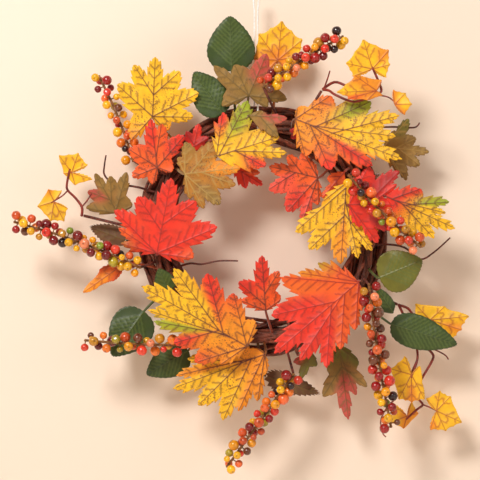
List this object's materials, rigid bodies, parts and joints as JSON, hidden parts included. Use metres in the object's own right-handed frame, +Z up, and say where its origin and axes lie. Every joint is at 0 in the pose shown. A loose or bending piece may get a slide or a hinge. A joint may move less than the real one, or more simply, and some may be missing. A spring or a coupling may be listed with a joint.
{
  "type": "harvest door wreath",
  "caption": "Round grapevine wreath with autumn fabric leaves, glossy berry sprays and curling vine sprigs, hung from a doubled white cord",
  "frame": {"origin": "the point where the hanging cord passes over its hook, above the top of the ring and in the ring's middle plane", "axes": "+X to the right as seen from the front, +Y back towards the door, +Z up; the leaves face -Y"},
  "size_m": [0.5506, 0.1328, 0.5795],
  "materials": {
    "hanging_cord": "soft white twisted cord",
    "cord_knot": "soft white twisted cord",
    "front_cane": "dark dried vine, matt bark",
    "back_cane": "dark dried vine, matt bark",
    "outer_cane": "dark dried vine, matt bark",
    "inner_cane": "dark dried vine, matt bark",
    "binding_turns": "dark dried vine, matt bark",
    "loose_twigs": "dark dried vine, matt bark",
    "stem_ends": "dark dried vine, matt bark",
    "yellow_maple_leaf_upper_left": "printed polyester leaf with raised veins, satin",
    "orange_maple_leaf_upper_left": "printed polyester leaf with raised veins, satin",
    "ochre_maple_leaf_upper_left": "printed polyester leaf with raised veins, satin",
    "red_maple_leaf_left": "printed polyester leaf with raised veins, satin",
    "red_yellow_maple_leaf_top": "printed polyester leaf with raised veins, satin",
    "tan_oak_leaf_top": "printed polyester leaf with raised veins, satin",
    "tan_pink_oak_leaf_top": "printed polyester leaf with raised veins, satin",
    "green_leaf_top": "printed polyester leaf with raised veins, satin",
    "green_leaf_top_behind": "printed polyester leaf with raised veins, satin",
    "grape_leaf_top": "printed polyester leaf with raised veins, satin",
    "yellow_red_maple_leaf_right": "printed polyester leaf with raised veins, satin",
    "orange_maple_leaf_inner": "printed polyester leaf with raised veins, satin",
    "yellow_maple_leaf_inner": "printed polyester leaf with raised veins, satin",
    "red_maple_leaf_right": "printed polyester leaf with raised veins, satin",
    "red_green_maple_leaf_right": "printed polyester leaf with raised veins, satin",
    "tan_maple_leaf_right": "printed polyester leaf with raised veins, satin",
    "green_leaf_right": "printed polyester leaf with raised veins, satin",
    "green_leaf_right_long": "printed polyester leaf with raised veins, satin",
    "olive_oak_leaf_bottom": "printed polyester leaf with raised veins, satin",
    "red_orange_maple_leaf_bottom": "printed polyester leaf with raised veins, satin",
    "orange_maple_leaf_bottom": "printed polyester leaf with raised veins, satin",
    "yellow_red_maple_leaf_bottom": "printed polyester leaf with raised veins, satin",
    "golden_maple_leaf_bottom": "printed polyester leaf with raised veins, satin",
    "green_leaf_left": "printed polyester leaf with raised veins, satin",
    "green_leaf_left_low": "printed polyester leaf with raised veins, satin",
    "orange_leaf_left": "printed polyester leaf with raised veins, satin",
    "tan_oak_leaf_left": "printed polyester leaf with raised veins, satin",
    "small_red_leaves": "printed polyester leaf with raised veins, satin",
    "small_brown_leaves": "printed polyester leaf with raised veins, satin",
    "small_green_leaves": "printed polyester leaf with raised veins, satin",
    "berry_stem_upper_left": "wire wrapped in brown paper tape, matt",
    "berries_upper_left": "glossy lacquered berries in mixed autumn colours",
    "berry_stem_top": "wire wrapped in brown paper tape, matt",
    "berries_top": "glossy lacquered berries in mixed autumn colours",
    "berry_stem_right": "wire wrapped in brown paper tape, matt",
    "berries_right": "glossy lacquered berries in mixed autumn colours",
    "berry_stem_lower_right": "wire wrapped in brown paper tape, matt",
    "berries_lower_right": "glossy lacquered berries in mixed autumn colours",
    "berry_stem_bottom": "wire wrapped in brown paper tape, matt",
    "berries_bottom": "glossy lacquered berries in mixed autumn colours",
    "berry_stem_lower_left": "wire wrapped in brown paper tape, matt",
    "berries_lower_left": "glossy lacquered berries in mixed autumn colours",
    "berry_stem_left": "wire wrapped in brown paper tape, matt",
    "berries_left": "glossy lacquered berries in mixed autumn colours",
    "vine_stem_top": "maroon coated wire, satin",
    "vine_leaves_top": "printed polyester leaf with raised veins, satin",
    "vine_stem_left": "maroon coated wire, satin",
    "vine_leaves_left": "printed polyester leaf with raised veins, satin",
    "vine_stem_right": "maroon coated wire, satin",
    "vine_leaves_right": "printed polyester leaf with raised veins, satin"
  },
  "bodies": {
    "cord": {"hanging_cord": "hanging_cord", "cord_knot": "cord_knot"},
    "wreath": {"front_cane": "front_cane", "back_cane": "back_cane", "outer_cane": "outer_cane", "inner_cane": "inner_cane", "binding_turns": "binding_turns", "loose_twigs": "loose_twigs", "stem_ends": "stem_ends", "yellow_maple_leaf_upper_left": "yellow_maple_leaf_upper_left", "orange_maple_leaf_upper_left": "orange_maple_leaf_upper_left", "ochre_maple_leaf_upper_left": "ochre_maple_leaf_upper_left", "red_maple_leaf_left": "red_maple_leaf_left", "red_yellow_maple_leaf_top": "red_yellow_maple_leaf_top", "tan_oak_leaf_top": "tan_oak_leaf_top", "tan_pink_oak_leaf_top": "tan_pink_oak_leaf_top", "green_leaf_top": "green_leaf_top", "green_leaf_top_behind": "green_leaf_top_behind", "grape_leaf_top": "grape_leaf_top", "yellow_red_maple_leaf_right": "yellow_red_maple_leaf_right", "orange_maple_leaf_inner": "orange_maple_leaf_inner", "yellow_maple_leaf_inner": "yellow_maple_leaf_inner", "red_maple_leaf_right": "red_maple_leaf_right", "red_green_maple_leaf_right": "red_green_maple_leaf_right", "tan_maple_leaf_right": "tan_maple_leaf_right", "green_leaf_right": "green_leaf_right", "green_leaf_right_long": "green_leaf_right_long", "olive_oak_leaf_bottom": "olive_oak_leaf_bottom", "red_orange_maple_leaf_bottom": "red_orange_maple_leaf_bottom", "orange_maple_leaf_bottom": "orange_maple_leaf_bottom", "yellow_red_maple_leaf_bottom": "yellow_red_maple_leaf_bottom", "golden_maple_leaf_bottom": "golden_maple_leaf_bottom", "green_leaf_left": "green_leaf_left", "green_leaf_left_low": "green_leaf_left_low", "orange_leaf_left": "orange_leaf_left", "tan_oak_leaf_left": "tan_oak_leaf_left", "small_red_leaves": "small_red_leaves", "small_brown_leaves": "small_brown_leaves", "small_green_leaves": "small_green_leaves"},
    "spray_upper_left": {"berry_stem_upper_left": "berry_stem_upper_left", "berries_upper_left": "berries_upper_left"},
    "spray_top": {"berry_stem_top": "berry_stem_top", "berries_top": "berries_top"},
    "spray_right": {"berry_stem_right": "berry_stem_right", "berries_right": "berries_right"},
    "spray_lower_right": {"berry_stem_lower_right": "berry_stem_lower_right", "berries_lower_right": "berries_lower_right"},
    "spray_bottom": {"berry_stem_bottom": "berry_stem_bottom", "berries_bottom": "berries_bottom"},
    "spray_lower_left": {"berry_stem_lower_left": "berry_stem_lower_left", "berries_lower_left": "berries_lower_left"},
    "spray_left": {"berry_stem_left": "berry_stem_left", "berries_left": "berries_left"},
    "sprig_top": {"vine_stem_top": "vine_stem_top", "vine_leaves_top": "vine_leaves_top"},
    "sprig_left": {"vine_stem_left": "vine_stem_left", "vine_leaves_left": "vine_leaves_left"},
    "sprig_right": {"vine_stem_right": "vine_stem_right", "vine_leaves_right": "vine_leaves_right"}
  },
  "joints": [
    {"name": "wreath_swing", "type": "hinge", "parent": "cord", "child": "wreath", "pos_m": [0, 0, -0.16025], "axis": [0, 1, 0], "range_deg": [-8, 8]},
    {"name": "spray_bend_upper_left", "type": "hinge", "parent": "wreath", "child": "spray_upper_left", "pos_m": [-0.14931, -0.012, -0.20459], "axis": [0, 1, 0], "range_deg": [-10, 10]},
    {"name": "spray_bend_top", "type": "hinge", "parent": "wreath", "child": "spray_top", "pos_m": [0.008, -0.066, -0.119], "axis": [0.6018, 0, -0.7986], "range_deg": [0, 40]},
    {"name": "spray_bend_right", "type": "hinge", "parent": "wreath", "child": "spray_right", "pos_m": [0.10864, -0.082, -0.22464], "axis": [0, 1, 0], "range_deg": [-10, 10]},
    {"name": "spray_bend_lower_right", "type": "hinge", "parent": "wreath", "child": "spray_lower_right", "pos_m": [0.13274, -0.078, -0.35356], "axis": [-0.9945, 0, -0.1045], "range_deg": [0, 40]},
    {"name": "spray_bend_bottom", "type": "hinge", "parent": "wreath", "child": "spray_bottom", "pos_m": [0.04438, -0.054, -0.46118], "axis": [-0.809, 0, 0.5878], "range_deg": [0, 40]},
    {"name": "spray_bend_lower_left", "type": "hinge", "parent": "wreath", "child": "spray_lower_left", "pos_m": [-0.09134, -0.046, -0.42672], "axis": [0, 1, 0], "range_deg": [-10, 10]},
    {"name": "spray_bend_left", "type": "hinge", "parent": "wreath", "child": "spray_left", "pos_m": [-0.13966, -0.046, -0.33374], "axis": [0, -1, 0], "range_deg": [0, 12]},
    {"name": "sprig_bend_top", "type": "hinge", "parent": "wreath", "child": "sprig_top", "pos_m": [0.07878, -0.046, -0.12081], "axis": [0.0872, 0, -0.9962], "range_deg": [0, 20]},
    {"name": "sprig_bend_left", "type": "hinge", "parent": "wreath", "child": "sprig_left", "pos_m": [-0.21017, -0.03, -0.27091], "axis": [0.891, 0, 0.454], "range_deg": [0, 30]},
    {"name": "sprig_bend_right", "type": "hinge", "parent": "wreath", "child": "sprig_right", "pos_m": [0.17366, -0.008, -0.37994], "axis": [0, 1, 0], "range_deg": [-7, 7]}
  ]
}
